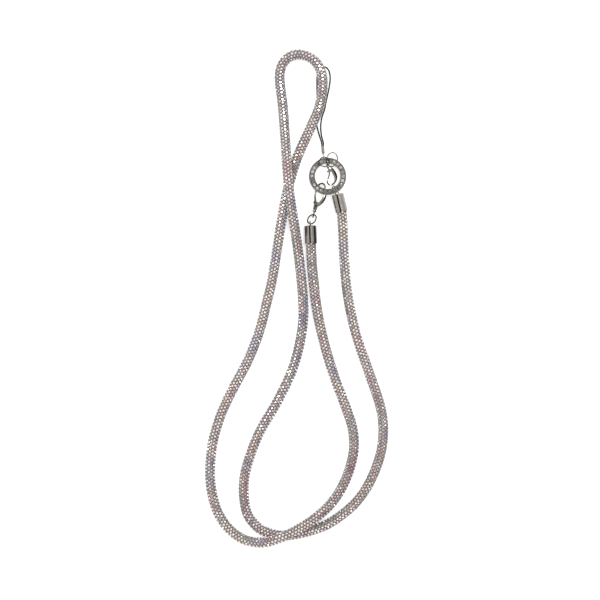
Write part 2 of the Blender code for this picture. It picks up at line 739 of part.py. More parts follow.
def make_crimp(finish):
    eye_at, down = crimp_axis()
    far = CRIMP_NECK + CRIMP_LENGTH
    edge = CRIMP_DIAMETER * 0.1
    radius = CRIMP_DIAMETER / 2
    neck = CRIMP_EYE_WIRE * 1.4
    profile = (
        (0.0, CRIMP_EYE_RADIUS),
        (neck, CRIMP_EYE_RADIUS),
        (neck, CRIMP_NECK - edge),
        (radius - edge, CRIMP_NECK),
        (radius, CRIMP_NECK + edge),
        (radius, far),
        (0.0, far),
    )
    body = turned("cord_crimp", profile, 14)
    crimp = add_object("cord_crimp", body, finish, frame(eye_at, down, (0, 0, 1)))
    eye = wire_ring("crimp_eye", CRIMP_EYE_RADIUS, CRIMP_EYE_WIRE, 18, 8)
    upright = frame(eye_at, Vector((0, 0, 1)).cross(down), (0, 0, 1))
    combine(crimp, helper("crimp_eye", eye, upright), "UNION")


def cord_line():
    """The cord's middle from one end in the crimp round its loop to the other end."""
    eye_at, down = crimp_axis()
    mouth = eye_at + down * (CRIMP_NECK + CRIMP_LENGTH + ROPE_END_GAP)
    side = Vector((down.y, -down.x, 0)).normalized() * CORD_DIAMETER * 0.56
    lead = down * 2.2 * MM
    route = [Vector((x * MM, y * MM, CORD_HEIGHT)) for x, y in CORD_ROUTE]
    for near_end in (route[0], route[-1]):
        near_end.z += (mouth.z - CORD_HEIGHT) * 0.22
    rows = [mouth + side, mouth + side + lead] + route + [mouth - side + lead, mouth - side]
    return smooth_line(rows, CORD_POINT_SPACING)


def make_cord(finish):
    rows = [(*row, CORD_DIAMETER / 2) for row in cord_line()]
    add_object("lariat_cord", tube_curve("lariat_cord", rows, 2), finish)


def hang_on_origin():
    """Moves the middle of the strap's outline to the origin."""
    lines = np.vstack(rope_lines())
    low = lines.min(axis=0)
    high = lines.max(axis=0)
    holder = bpy.data.objects.new("strap_origin", None)
    bpy.context.collection.objects.link(holder)
    for thing in bpy.data.objects:
        if thing is not holder:
            thing.parent = holder
    holder.location = (-(low[0] + high[0]) / 2, -(low[1] + high[1]) / 2, 0.0)


def main():
    clear_scene()
    nickel = material("nickel", (0.62, 0.6, 0.57), 1.0, 0.22)
    stones = material("strap_stones", (0.55, 0.47, 0.45), 0.3, 0.25)
    glass = material("clear_stone", (0.9, 0.92, 0.95), 0.0, 0.05)
    black = material("black_cord", (0.02, 0.02, 0.022), 0.0, 0.7)
    make_rope(stones)
    cap_eye = make_left_cap(nickel)
    make_right_cap(nickel)
    make_studded_ring(nickel)
    make_stones(glass)
    swivel_eye = make_strap_clasp(nickel)
    make_jump_ring(swivel_eye, cap_eye, nickel)
    make_loose_rings(nickel)
    make_small_clasp(nickel)
    make_crimp(nickel)
    make_cord(black)
    hang_on_origin()


main()
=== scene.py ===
"""Looks of a phone crossbody strap: a stone-covered rope with a polished ring, caps, clasps and a cord.

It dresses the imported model, which is the fixed frame, in metres, lying as the photograph shows it.
"""

import math

import bmesh
import bpy
import numpy as np
from bpy.props import FloatProperty, FloatVectorProperty, IntProperty, PointerProperty
from bpy.types import Operator, Panel, PropertyGroup
from mathutils import Matrix, Vector


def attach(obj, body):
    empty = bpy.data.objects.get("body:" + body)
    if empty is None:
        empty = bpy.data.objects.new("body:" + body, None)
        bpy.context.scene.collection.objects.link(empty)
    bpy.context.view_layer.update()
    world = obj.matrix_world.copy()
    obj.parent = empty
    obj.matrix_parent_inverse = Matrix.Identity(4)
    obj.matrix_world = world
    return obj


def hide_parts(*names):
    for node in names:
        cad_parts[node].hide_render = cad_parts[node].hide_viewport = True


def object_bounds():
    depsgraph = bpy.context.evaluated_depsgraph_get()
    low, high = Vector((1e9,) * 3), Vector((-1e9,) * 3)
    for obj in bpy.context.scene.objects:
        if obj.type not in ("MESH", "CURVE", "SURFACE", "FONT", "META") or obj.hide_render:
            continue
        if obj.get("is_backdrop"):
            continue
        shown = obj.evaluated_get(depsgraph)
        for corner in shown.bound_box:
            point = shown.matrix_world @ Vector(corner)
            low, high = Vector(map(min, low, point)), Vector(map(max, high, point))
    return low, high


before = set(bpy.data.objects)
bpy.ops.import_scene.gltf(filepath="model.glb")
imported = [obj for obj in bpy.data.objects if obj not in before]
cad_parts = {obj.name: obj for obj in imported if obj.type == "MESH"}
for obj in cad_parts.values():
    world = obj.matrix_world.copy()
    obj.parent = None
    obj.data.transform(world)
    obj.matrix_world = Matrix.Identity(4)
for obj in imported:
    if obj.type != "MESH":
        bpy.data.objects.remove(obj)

bl_info = {
    "name": "Stone Rope Strap",
    "version": (1, 0, 0),
    "blender": (4, 5, 0),
    "location": "View3D > Sidebar > Strap",
    "description": "Dresses a stone-covered phone crossbody strap with its ring, caps, clasps and cord",
    "category": "Object",
}

MM = 0.001

# The rope's route, as the model's source has it: x and y in mm, and its lift in rope diameters
ROPE_ROUTE = (
    (9.9, 22.4, 0.0),
    (11.3, 8.0, 0.0),
    (12.7, -4.3, 0.0),
    (15.0, -17.5, 0.0),
    (19.8, -37.0, 0.0),
    (25.9, -56.2, 0.0),
    (33.0, -75.0, 0.0),
    (37.0, -87.8, 0.0),
    (37.9, -101.0, 0.0),
    (35.3, -113.8, 0.02),
    (30.3, -126.2, 0.12),
    (23.0, -137.1, 0.38),
    (13.1, -146.3, 0.75),
    (2.3, -153.4, 1.0),
    (-9.7, -159.3, 1.14),
    (-22.7, -163.3, 0.85),
    (-35.4, -161.7, 0.38),
    (-45.7, -154.7, 0.08),
    (-53.1, -143.8, 0.0),
    (-57.0, -130.9, 0.0),
    (-58.3, -117.4, 0.0),
    (-56.5, -97.2, 0.0),
    (-50.8, -77.9, 0.0),
    (-42.1, -59.6, 0.0),
    (-33.3, -42.9, 0.0),
    (-25.1, -22.1, 0.0),
    (-20.4, -3.5, 0.0),
    (-17.2, 9.6, 0.0),
    (-13.9, 29.6, 0.0),
    (-10.8, 49.5, 0.0),
    (-7.2, 68.3, 0.0),
    (-3.7, 81.7, 0.0),
    (0.6, 94.8, 0.03),
    (6.0, 107.0, 0.12),
    (10.6, 116.9, 0.18),
    (14.2, 125.4, 0.18),
    (16.4, 135.3, 0.18),
    (17.0, 145.0, 0.18),
    (15.6, 151.6, 0.18),
    (12.5, 157.1, 0.17),
    (7.4, 160.9, 0.1),
    (0.9, 162.5, 0.03),
    (-5.5, 160.7, 0.0),
    (-9.9, 155.8, 0.0),
    (-11.7, 149.3, 0.0),
    (-11.5, 142.6, 0.0),
    (-9.7, 128.0, 0.0),
    (-8.3, 109.3, 0.15),
    (-7.4, 95.9, 0.6),
    (-6.6, 85.1, 0.96),
    (-5.7, 74.4, 1.14),
    (-4.3, 63.0, 1.0),
    (-2.1, 49.3, 0.66),
    (-0.1, 36.0, 0.24),
    (1.6, 22.8, 0.04),
    (3.0, 9.4, 0.0),
    (4.0, -3.8, 0.0),
    (3.8, -17.2, 0.0),
    (-1.6, -43.7, 0.0),
    (-12.5, -68.2, 0.0),
    (-25.8, -91.5, 0.0),
    (-34.6, -116.6, 0.0),
    (-35.8, -130.0, 0.0),
    (-33.9, -143.4, 0.0),
    (-30.6, -149.3, 0.0),
    (-25.6, -154.3, 0.0),
    (-19.6, -157.4, 0.0),
    (-11.4, -159.2, 0.0),
    (-0.7, -158.3, 0.0),
    (18.4, -152.7, 0.0),
    (29.6, -145.7, 0.0),
    (39.5, -136.9, 0.0),
    (47.2, -126.1, 0.0),
    (52.8, -114.0, 0.0),
    (56.5, -101.2, 0.0),
    (57.6, -88.0, 0.0),
    (56.0, -74.6, 0.0),
    (47.6, -49.1, 0.0),
    (39.1, -23.8, 0.0),
    (33.6, 2.5, 0.0),
    (31.2, 29.3, 0.0),
    (30.7, 42.7, 0.03),
)
ROPE_DIAMETER = 7.0 * MM
ROPE_RADIUS = ROPE_DIAMETER / 2
CAP_HEIGHT = 4.25 * MM
CAP_DEPTH = 10.1 * MM
LEFT_CAP = (9.25 * MM, 36.0 * MM, math.radians(92.5))
RIGHT_CAP = (29.6 * MM, 57.2 * MM, math.radians(103.0))

# Where the black cord runs between its two ends in the crimp: x and y in mm
CORD_ROUTE = (
    (16.5, 107.2),
    (15.9, 111.0),
    (15.8, 115.4),
    (16.6, 120.6),
    (18.3, 125.6),
    (19.3, 130.7),
    (20.3, 135.3),
    (21.3, 139.9),
    (22.0, 144.9),
    (22.0, 148.6),
    (21.2, 151.9),
    (19.2, 154.1),
    (16.6, 154.2),
    (14.5, 152.0),
    (13.4, 148.0),
    (13.2, 142.0),
    (13.3, 137.0),
    (13.1, 131.5),
    (12.6, 126.4),
    (12.3, 121.4),
    (12.7, 117.2),
    (13.6, 112.9),
    (14.9, 108.0),
)
CORD_ENDS = ((17.61344, 101.20828, 3.51205), (16.4959, 101.13405, 3.51205))
CORD_LEAD = (-0.14, 2.11, -0.61)
CORD_DIAMETER = 1.0 * MM


def between(first, last, start, end, at):
    return ((end - at) * first + (at - start) * last) / (end - start)


def smooth_line(rows, spacing):
    """Evenly spaced rows on one smooth curve through the given rows of x, y and z."""
    rows = np.array(rows, float)
    rows = np.vstack([2 * rows[0] - rows[1], rows, 2 * rows[-1] - rows[-2]])
    steps = np.sqrt(np.linalg.norm(np.diff(rows[:, :3], axis=0), axis=1))
    knots = np.concatenate([[0.0], np.cumsum(steps)])
    fine = []
    for i in range(1, len(rows) - 2):
        near = rows[i - 1 : i + 3]
        knot = knots[i - 1 : i + 3]
        for at in np.linspace(knot[1], knot[2], 16, endpoint=False):
            firsts = [between(near[j], near[j + 1], knot[j], knot[j + 1], at) for j in range(3)]
            seconds = [between(firsts[j], firsts[j + 1], knot[j], knot[j + 2], at) for j in range(2)]
            fine.append(between(seconds[0], seconds[1], knot[1], knot[2], at))
    fine.append(rows[-2])
    fine = np.array(fine)
    along = np.concatenate([[0.0], np.cumsum(np.linalg.norm(np.diff(fine[:, :3], axis=0), axis=1))])
    even = np.linspace(0.0, along[-1], max(2, round(along[-1] / spacing)) + 1)
    return np.stack([np.interp(even, along, fine[:, k]) for k in range(fine.shape[1])], axis=1)


def cap_entry(x, y, angle):
    """Rows on a cap's axis, from the rope's end inside the cap to the cap's mouth."""
    way = np.array([math.cos(angle), math.sin(angle), 0.0])
    return [np.array([x, y, CAP_HEIGHT]) + way * share * CAP_DEPTH for share in (1.0, 0.5, 0.0)]


def rope_line():
    """The rope's middle, each millimetre, in the model's frame, and the route's shift to that frame."""
    route = [(x * MM, y * MM, ROPE_RADIUS + lift * ROPE_DIAMETER) for x, y, lift in ROPE_ROUTE]
    line = smooth_line(cap_entry(*LEFT_CAP) + route + cap_entry(*RIGHT_CAP)[::-1], MM)
    line[:, 2] = np.maximum(line[:, 2], ROPE_RADIUS)
    shift = -(line.min(axis=0) + line.max(axis=0)) / 2
    shift[2] = 0.0
    return line + shift, shift


ROPE_LINE, SHIFT = rope_line()


def line_frames(line):
    """For each row of a line its direction and two directions across it, carried along without twist."""
    ways = np.gradient(line, axis=0)
    ways /= np.linalg.norm(ways, axis=1)[:, None]
    side = np.cross(ways[0], (0.0, 0.0, 1.0))
    side /= np.linalg.norm(side)
    sides = []
    for way in ways:
        side = side - way * side.dot(way)
        side = side / np.linalg.norm(side)
        sides.append(side)
    sides = np.array(sides)
    return ways, sides, np.cross(sides, ways)


def drift(rng, count, spacing, length):
    """A smooth random row that swings between about -1 and 1 over that length."""
    knots = max(4, int(count * spacing / length) + 3)
    values = rng.uniform(-1.0, 1.0, knots)
    at = np.linspace(0, knots - 1.001, count)
    low = at.astype(int)
    part = at - low
    part = part * part * (3 - 2 * part)
    return values[low] * (1 - part) + values[low + 1] * part


# Where the stones sit: where their rows start, and the depth of their seats and of the cloth below
STONES_FROM_END = CAP_DEPTH - 1.5 * MM
SEAT_DEPTH = 0.05 * MM
CLOTH_DEPTH = 0.03 * MM
TWIST_LENGTH = 0.08
TWIST_ANGLE = math.radians(20)
STONE_LEAN = 0.03
STONE_SIZES = (0.96, 1.03)
SMALLEST_SQUEEZE = 0.72
STONE_SIDES = 8
TABLE_SHARE = 0.56

# The cups that hold the stones
CUP_HEIGHT_SHARE = 0.38
CUP_WALL = 0.09 * MM
CUP_RIM_SHARE = 0.4
CUP_COLOUR = (0.68, 0.61, 0.59)
CUP_ROUGHNESS = 0.3

# The stones' colours: the lengths of their patches, the painted shade by which the sides differ from the
# top, and the painted glints
GOLD_PATCH, WINE_PATCH, VIOLET_PATCH = 0.011, 0.013, 0.012
PATCH_LANES = 5
PATCH_GRAIN = 0.1
UPWARDS_SHADE_TEAL = 0.8
SIDE_SHADE_HUE = 0.95
SIDE_PAINTED_SHADE = 0.4
LIGHT_SPREAD = (0.8, 1.22)
PAINTED_GLINT_TOPS = (0.4, 0.5, 0.85, 0.93)
PAINTED_GLINT_CHANCES = (0.0, 0.05, 0.12, 0.24)

# The studded ring's channel floor at its middle, in mm, and the grains between its stones
RING_CENTRE = (20.645, 81.354, 3.7855)
RING_GRAIN = 0.38 * MM
RING_GRAIN_REACHES = (9.85 * MM, 11.15 * MM)

# How bright each kind of fitting is painted beside the polished plate: darker copies of the same plate as
# painted shade, and lighter grains as painted highlights
WIRE_PAINTED_SHADE, RING_PAINTED_SHADE, CLASP_PAINTED_SHADE, LEVER_PAINTED_SHADE, GRAIN_PAINTED_HIGHLIGHT = 0.38, 0.7, 0.75, 0.5, 1.4
WIRES = ("jump_ring", "small_ring", "thin_ring", "swivel_eye")

# The lights, each with its place, its size and its share of the key's power, and the camera's place
LIGHTS = (
    ("overhead", (0.28, 0.5, 1.5), 0.4, 1.0),
    ("left_fill", (-0.75, 0.5, 1.3), 0.4, 0.5),
)
CAMERA_PLACE = (1.85 * MM, -1.85 * MM)
TENT_DARK = (0.012, 0.012, 0.014, 1.0)
TENT_LIGHT = (1.0, 0.985, 0.96, 1.0)

# Dark gaps in the light tent: towards where, how wide and how soft in degrees, and the light left
TENT_GAPS = (
    ((-0.16, 0.0, 0.99), 18.0, 2.0, 0.02),
    ((0.869, -0.387, 0.309), 35.0, 2.0, 0.02),
    ((-0.3, 0.9, 0.35), 24.0, 4.0, 0.1),
    ((0.2, -0.9, 0.45), 20.0, 4.0, 0.1),
)


# Settings a user would change


class StrapRopeSettings(PropertyGroup):
    pitch: FloatProperty(
        name="Stone Pitch", description="Distance from stone to stone along the rope", default=2.3 * MM,
        min=0.5 * MM, unit="LENGTH",
    )
    columns: IntProperty(
        name="Columns", description="Rows of stones round the rope", default=10, min=6, max=16
    )
    stone_radius: FloatProperty(
        name="Stone Radius", description="Radius of a stone at its widest", default=1.02 * MM, min=0.3 * MM,
        unit="LENGTH",
    )
    stone_height: FloatProperty(
        name="Stone Height", description="Height of a stone over the cloth", default=0.62 * MM,
        min=0.1 * MM, unit="LENGTH",
    )
    cloth: FloatVectorProperty(
        name="Cloth", description="Colour of the cloth tube between the stones", default=(0.2, 0.16, 0.15),
        subtype="COLOR", min=0.0, max=1.0,
    )
    pale: FloatVectorProperty(
        name="Pale Stone", description="Most common colour of the stones", default=(0.93, 0.88, 0.86),
        subtype="COLOR", min=0.0, max=1.0,
    )
    gold: FloatVectorProperty(
        name="Gold Stone", description="Warm colour of the stones", default=(0.96, 0.82, 0.71),
        subtype="COLOR", min=0.0, max=1.0,
    )
    wine: FloatVectorProperty(
        name="Wine Stone", description="Pink and wine colour of the stones", default=(0.8, 0.52, 0.58),
        subtype="COLOR", min=0.0, max=1.0,
    )
    violet: FloatVectorProperty(
        name="Violet Stone", description="Violet-grey colour of the stones", default=(0.54, 0.56, 0.76),
        subtype="COLOR", min=0.0, max=1.0,
    )
    # Painted shade: teal, lavender and rose are darker hues painted on the stones at the rope's sides by
    # which way each stone faces, teal the deepest, on the left and upward sides
    shade_teal: FloatVectorProperty(
        name="Teal Stone", description="Grey-green colour of the stones that face left or up the picture",
        default=(0.18, 0.29, 0.28), subtype="COLOR", min=0.0, max=1.0,
    )
    shade_lavender: FloatVectorProperty(
        name="Lavender Stone", description="Pale cool colour of the stones that face right",
        default=(0.48, 0.53, 0.62), subtype="COLOR", min=0.0, max=1.0,
    )
    shade_rose: FloatVectorProperty(
        name="Rose Stone", description="Colour of the stones that face down the picture",
        default=(0.47, 0.39, 0.37), subtype="COLOR", min=0.0, max=1.0,
    )


class StrapMetalSettings(PropertyGroup):
    colour: FloatVectorProperty(
        name="Metal", description="Colour of the polished metal", default=(0.33, 0.315, 0.29),
        subtype="COLOR", min=0.0, max=1.0,
    )
    roughness: FloatProperty(
        name="Roughness", description="Roughness of the polished metal", default=0.06, min=0.0, max=1.0,
        subtype="FACTOR",
    )


class StrapCordSettings(PropertyGroup):
    colour: FloatVectorProperty(
        name="Cord", description="Colour of the woven cord", default=(0.006, 0.006, 0.0065),
        subtype="COLOR", min=0.0, max=1.0,
    )


class StrapStageSettings(PropertyGroup):
    floor: FloatVectorProperty(
        name="Floor", description="Colour of the floor", default=(0.95, 0.95, 0.95),
        subtype="COLOR", min=0.0, max=1.0,
    )
    frame_width: FloatProperty(
        name="Frame Width", description="Width of what the camera sees on the floor", default=401.3 * MM,
        min=10 * MM, unit="LENGTH",
    )
    camera_height: FloatProperty(
        name="Camera Height", description="Height of the camera over the floor", default=1.5, min=0.2,
        unit="LENGTH",
    )
    key: FloatProperty(
        name="Key", description="Power of the light overhead", default=7.0, min=0.0, unit="POWER"
    )
    glow: FloatProperty(
        name="Glow", description="Light that comes up through the floor", default=0.55, min=0.0
    )
    sky: FloatProperty(name="Sky", description="Strength of the light tent", default=1.05, min=0.0)


# Materials


def new_material(name):
    made = bpy.data.materials.new(name)
    made.use_nodes = True
    nodes = made.node_tree.nodes
    return made, nodes, made.node_tree.links, nodes["Principled BSDF"]


def polished_metal(name, colour, roughness, scuffs=0.05):
    """Polished plate with faint wear: fine scratches in its gloss and a slow change of its colour."""
    made, nodes, links, shader = new_material(name)
    shader.inputs["Metallic"].default_value = 1.0
    place = nodes.new("ShaderNodeTexCoord")
    cloud = nodes.new("ShaderNodeTexNoise")
    cloud.inputs["Scale"].default_value = 260.0
    cloud.inputs["Detail"].default_value = 4.0
    links.new(place.outputs["Object"], cloud.inputs["Vector"])
    tone = nodes.new("ShaderNodeValToRGB")
    tone.color_ramp.elements[0].position = 0.3
    tone.color_ramp.elements[0].color = (*[c * 0.86 for c in colour], 1.0)
    tone.color_ramp.elements[1].position = 0.7
    tone.color_ramp.elements[1].color = (*colour, 1.0)
    links.new(cloud.outputs["Fac"], tone.inputs["Fac"])
    links.new(tone.outputs["Color"], shader.inputs["Base Color"])
    stretch = nodes.new("ShaderNodeMapping")
    stretch.inputs["Scale"].default_value = (1.0, 7.0, 3.0)
    links.new(place.outputs["Object"], stretch.inputs["Vector"])
    scratch = nodes.new("ShaderNodeTexNoise")
    scratch.inputs["Scale"].default_value = 900.0
    scratch.inputs["Detail"].default_value = 3.0
    links.new(stretch.outputs["Vector"], scratch.inputs["Vector"])
    gloss = nodes.new("ShaderNodeMapRange")
    gloss.inputs["From Min"].default_value = 0.35
    gloss.inputs["From Max"].default_value = 0.75
    gloss.inputs["To Min"].default_value = roughness
    gloss.inputs["To Max"].default_value = roughness + 0.14
    links.new(scratch.outputs["Fac"], gloss.inputs["Value"])
    links.new(gloss.outputs["Result"], shader.inputs["Roughness"])
    bump = nodes.new("ShaderNodeBump")
    bump.inputs["Strength"].default_value = scuffs
    bump.inputs["Distance"].default_value = 0.00003
    links.new(scratch.outputs["Fac"], bump.inputs["Height"])
    links.new(bump.outputs["Normal"], shader.inputs["Normal"])
    return made


def coated_stone(name):
    """Cut glass with a mirror back and a coloured coating, whose colour is painted stone by stone, with
    painted side shade and painted glints in it.
    """
    made, nodes, links, shader = new_material(name)
    paint = nodes.new("ShaderNodeVertexColor")
    paint.layer_name = "coating_and_painted_light"
    place = nodes.new("ShaderNodeTexCoord")
    cloud = nodes.new("ShaderNodeTexNoise")
    cloud.inputs["Scale"].default_value = 700.0
    links.new(place.outputs["Object"], cloud.inputs["Vector"])
    gloss = nodes.new("ShaderNodeMapRange")
    gloss.inputs["To Min"].default_value = 0.06
    gloss.inputs["To Max"].default_value = 0.2
    links.new(cloud.outputs["Fac"], gloss.inputs["Value"])
    links.new(gloss.outputs["Result"], shader.inputs["Roughness"])
    links.new(paint.outputs["Color"], shader.inputs["Base Color"])
    shader.inputs["Metallic"].default_value = 0.65
    shader.inputs["Specular Tint"].default_value = (0.45, 0.47, 0.48, 1.0)
    shader.inputs["Coat Weight"].default_value = 0.4
    shader.inputs["Coat Roughness"].default_value = 0.03
    return made


def clear_stone(name):
    """Clear cut glass over a bright foil, its colour a noise of near-white and dark grey patches: painted
    glints and painted shade.
    """
    made, nodes, links, shader = new_material(name)
    place = nodes.new("ShaderNodeTexCoord")
    cloud = nodes.new("ShaderNodeTexNoise")
    cloud.inputs["Scale"].default_value = 170.0
    links.new(place.outputs["Object"], cloud.inputs["Vector"])
    # Painted highlights and shade: patches of near-white and dark grey in the glass's colour
    tone = nodes.new("ShaderNodeValToRGB")
    tone.color_ramp.elements[0].position = 0.4
    tone.color_ramp.elements[0].color = (0.2, 0.21, 0.22, 1.0)
    tone.color_ramp.elements[1].position = 0.58
    tone.color_ramp.elements[1].color = (0.95, 0.93, 0.9, 1.0)
    links.new(cloud.outputs["Fac"], tone.inputs["Fac"])
    links.new(tone.outputs["Color"], shader.inputs["Base Color"])
    shader.inputs["Metallic"].default_value = 0.4
    shader.inputs["Roughness"].default_value = 0.05
    shader.inputs["Coat Weight"].default_value = 1.0
    shader.inputs["Coat Roughness"].default_value = 0.02
    return made


def woven(name, colour, along, across):
    """Fine plaited thread on a tube, whose own map runs across and along it."""
    made, nodes, links, shader = new_material(name)
    place = nodes.new("ShaderNodeUVMap")
    place.uv_map = "thread"
    stretch = nodes.new("ShaderNodeMapping")
    stretch.inputs["Scale"].default_value = (across, along, 1.0)
    links.new(place.outputs["UV"], stretch.inputs["Vector"])
    plait = nodes.new("ShaderNodeTexWave")
    plait.wave_type = "BANDS"
    plait.bands_direction = "DIAGONAL"
    plait.inputs["Scale"].default_value = 1.0
    plait.inputs["Distortion"].default_value = 0.6
    links.new(stretch.outputs["Vector"], plait.inputs["Vector"])
    tone = nodes.new("ShaderNodeValToRGB")
    tone.color_ramp.elements[0].color = (*[c * 0.45 for c in colour], 1.0)
    tone.color_ramp.elements[1].color = (*[min(1.0, c * 2.2) for c in colour], 1.0)
    links.new(plait.outputs["Fac"], tone.inputs["Fac"])
    links.new(tone.outputs["Color"], shader.inputs["Base Color"])
    shader.inputs["Roughness"].default_value = 0.7
    shader.inputs["Sheen Weight"].default_value = 0.04
    bump = nodes.new("ShaderNodeBump")
    bump.inputs["Strength"].default_value = 0.7
    bump.inputs["Distance"].default_value = 0.00008
    links.new(plait.outputs["Fac"], bump.inputs["Height"])
    links.new(bump.outputs["Normal"], shader.inputs["Normal"])
    return made


def floor_material(colour, glow):
    """The matt top of a light table, with the faintest cloud in it."""
    made, nodes, links, shader = new_material("pale_card")
    place = nodes.new("ShaderNodeTexCoord")
    cloud = nodes.new("ShaderNodeTexNoise")
    cloud.inputs["Scale"].default_value = 3.0
    links.new(place.outputs["Object"], cloud.inputs["Vector"])
    tone = nodes.new("ShaderNodeValToRGB")
    tone.color_ramp.elements[0].color = (*[c * 0.99 for c in colour], 1.0)
    tone.color_ramp.elements[1].color = (*colour, 1.0)
    links.new(cloud.outputs["Fac"], tone.inputs["Fac"])
    links.new(tone.outputs["Color"], shader.inputs["Base Color"])
    shader.inputs["Roughness"].default_value = 0.9
    shader.inputs["Specular IOR Level"].default_value = 0.1
    shader.inputs["Emission Color"].default_value = (1.0, 1.0, 1.0, 1.0)
    shader.inputs["Emission Strength"].default_value = glow
    return made


# Shapes


def new_piece(name, mesh, finish):
    """A finished piece with its place in its mesh, riding on the root body."""
    piece = bpy.data.objects.new(name, mesh)
    bpy.context.scene.collection.objects.link(piece)
    mesh.materials.clear()
    mesh.materials.append(finish)
    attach(piece, "root")
    return piece


def mesh_from(bm, name):
    """The mesh of a bmesh, its doubles merged and its faces out."""
    bmesh.ops.remove_doubles(bm, verts=bm.verts, dist=1e-7)
    bmesh.ops.recalc_face_normals(bm, faces=bm.faces)
    mesh = bpy.data.meshes.new(name)
    bm.to_mesh(mesh)
    bm.free()
    return mesh


def tube_along(name, line, radius, resolution):
    """A round tube with closed ends along a line."""
    curve = bpy.data.curves.new(name, "CURVE")
    curve.dimensions = "3D"
    curve.bevel_depth = radius
    curve.bevel_resolution = resolution
    curve.use_fill_caps = True
    spline = curve.splines.new("POLY")
    spline.points.add(len(line) - 1)
    for point, place in zip(spline.points, line):
        point.co = (*place, 1.0)
    holder = bpy.data.objects.new(name, curve)
    mesh = bpy.data.meshes.new_from_object(holder)
    bpy.data.objects.remove(holder)
    bpy.data.curves.remove(curve)
    return mesh


def map_tube(mesh, line, diameter):
    """Gives a tube its map from its line: across in shares of its girth, along in diameters."""
    ways, sides, ups = line_frames(line)
    along = np.concatenate([[0.0], np.cumsum(np.linalg.norm(np.diff(line, axis=0), axis=1))])
    corners = np.array([loop.vertex_index for loop in mesh.loops])
    points = np.array([v.co for v in mesh.vertices])
    near = np.array([int(np.argmin(((line - point) ** 2).sum(axis=1))) for point in points])
    away = points - line[near]
    turn = np.arctan2((away * ups[near]).sum(axis=1), (away * sides[near]).sum(axis=1)) / math.tau
    layer = mesh.uv_layers.new(name="thread")
    map_of = np.stack([turn[corners], along[near][corners] / diameter], axis=1)
    starts = [polygon.loop_start for polygon in mesh.polygons]
    totals = [polygon.loop_total for polygon in mesh.polygons]
    for start, total in zip(starts, totals):
        turns = map_of[start : start + total, 0]
        turns[turns < turns.max() - 0.5] += 1.0
    layer.data.foreach_set("uv", map_of.astype(np.float32).ravel())


def copies(name, template, places, colours=None):
    """One mesh of many copies of a small shape, each with its own 4 by 4 place, painted copy by copy."""
    points = np.array([v.co for v in template.vertices])
    faces = [tuple(p.vertices) for p in template.polygons]
    count = len(points)
    all_points = np.einsum("nij,vj->nvi", places[:, :3, :3], points) + places[:, None, :3, 3]
    all_faces = [tuple(v + k * count for v in face) for k in range(len(places)) for face in faces]
    mesh = bpy.data.meshes.new(name)
    mesh.from_pydata(all_points.reshape(-1, 3), [], all_faces)
    if colours is not None:
        paint = mesh.color_attributes.new("coating_and_painted_light", "FLOAT_COLOR", "POINT")
        full = np.ones((len(places), count, 4), np.float32)
        full[:, :, :3] = colours[:, None, :]
        paint.data.foreach_set("color", full.ravel())
    mesh.update()
    return mesh


def cut_stone(radius, height):
    """A small cut stone with a table and a ring of three-sided facets, and a flat back."""
    bm = bmesh.new()
    bmesh.ops.create_cone(
        bm, cap_ends=True, segments=STONE_SIDES, radius1=radius, radius2=radius * TABLE_SHARE,
        depth=height, matrix=Matrix.Translation((0, 0, height / 2)),
    )
    table = [v for v in bm.verts if v.co.z > height / 2]
    bmesh.ops.rotate(
        bm, cent=(0, 0, 0), matrix=Matrix.Rotation(math.pi / STONE_SIDES, 3, "Z"), verts=table
    )
    walls = [f for f in bm.faces if len(f.verts) == 4]
    bmesh.ops.triangulate(bm, faces=walls, quad_method="SHORT_EDGE")
    return mesh_from(bm, "cut_stone")


def stone_cup(radius, height):
    """The low metal cup that holds a stone."""
    bm = bmesh.new()
    bmesh.ops.create_cone(
        bm, cap_ends=False, segments=STONE_SIDES, radius1=radius + CUP_WALL,
        radius2=radius + CUP_WALL * CUP_RIM_SHARE, depth=height,
        matrix=Matrix.Translation((0, 0, height / 2)),
    )
    return mesh_from(bm, "stone_cup")


def stone_places(settings):
    """The place of each stone, its side of the rope, and how far along it lies."""
    ways, sides, ups = line_frames(ROPE_LINE)
    along = np.concatenate([[0.0], np.cumsum(np.linalg.norm(np.diff(ROPE_LINE, axis=0), axis=1))])
    bend = np.gradient(ways, axis=0) / np.gradient(along)[:, None]
    seat = ROPE_RADIUS - settings.stone_height - SEAT_DEPTH
    first = STONES_FROM_END
    last = along[-1] - first
    rows = round((last - first) / settings.pitch)
    twist = drift(np.random.default_rng(3), len(ROPE_LINE), MM, TWIST_LENGTH) * TWIST_ANGLE
    places = []
    facts = []
    for column in range(settings.columns):
        turn = math.tau * column / settings.columns
        shift = 0.5 * (column % 2)
        for row in range(rows):
            at = first + (row + 0.25 + shift) * (last - first) / rows
            k = min(int(np.searchsorted(along, at)), len(along) - 1)
            part = (at - along[k - 1]) / (along[k] - along[k - 1])
            middle, way, side, up, curl = (
                table[k - 1] * (1 - part) + table[k] * part
                for table in (ROPE_LINE, ways, sides, ups, bend)
            )
            angle = turn + twist[k]
            out = side * math.cos(angle) + up * math.sin(angle)
            squeeze = 1.0 - float(curl.dot(out)) * ROPE_RADIUS
            places.append((middle + out * seat, out, way, squeeze))
            facts.append((column, row, at, *out))
    return places, np.array(facts)


def stone_matrices(places, rng):
    """Stones stand square on the rope, turned and leaned a little each in its own way."""
    made = []
    for middle, out, way, squeeze in places:
        lean = rng.normal(0.0, STONE_LEAN, 2)
        z = out + way * lean[0] + np.cross(out, way) * lean[1]
        z /= np.linalg.norm(z)
        x = way - z * way.dot(z)
        x /= np.linalg.norm(x)
        y = np.cross(z, x)
        turn = rng.uniform(0, math.tau / STONE_SIDES)
        size = min(1.0, max(SMALLEST_SQUEEZE, squeeze)) * rng.uniform(*STONE_SIZES)
        place = np.eye(4)
        place[:3, 0] = (x * math.cos(turn) + y * math.sin(turn)) * size
        place[:3, 1] = (y * math.cos(turn) - x * math.sin(turn)) * size
        place[:3, 2] = z
        place[:3, 3] = middle
        made.append(place)
    return np.array(made)


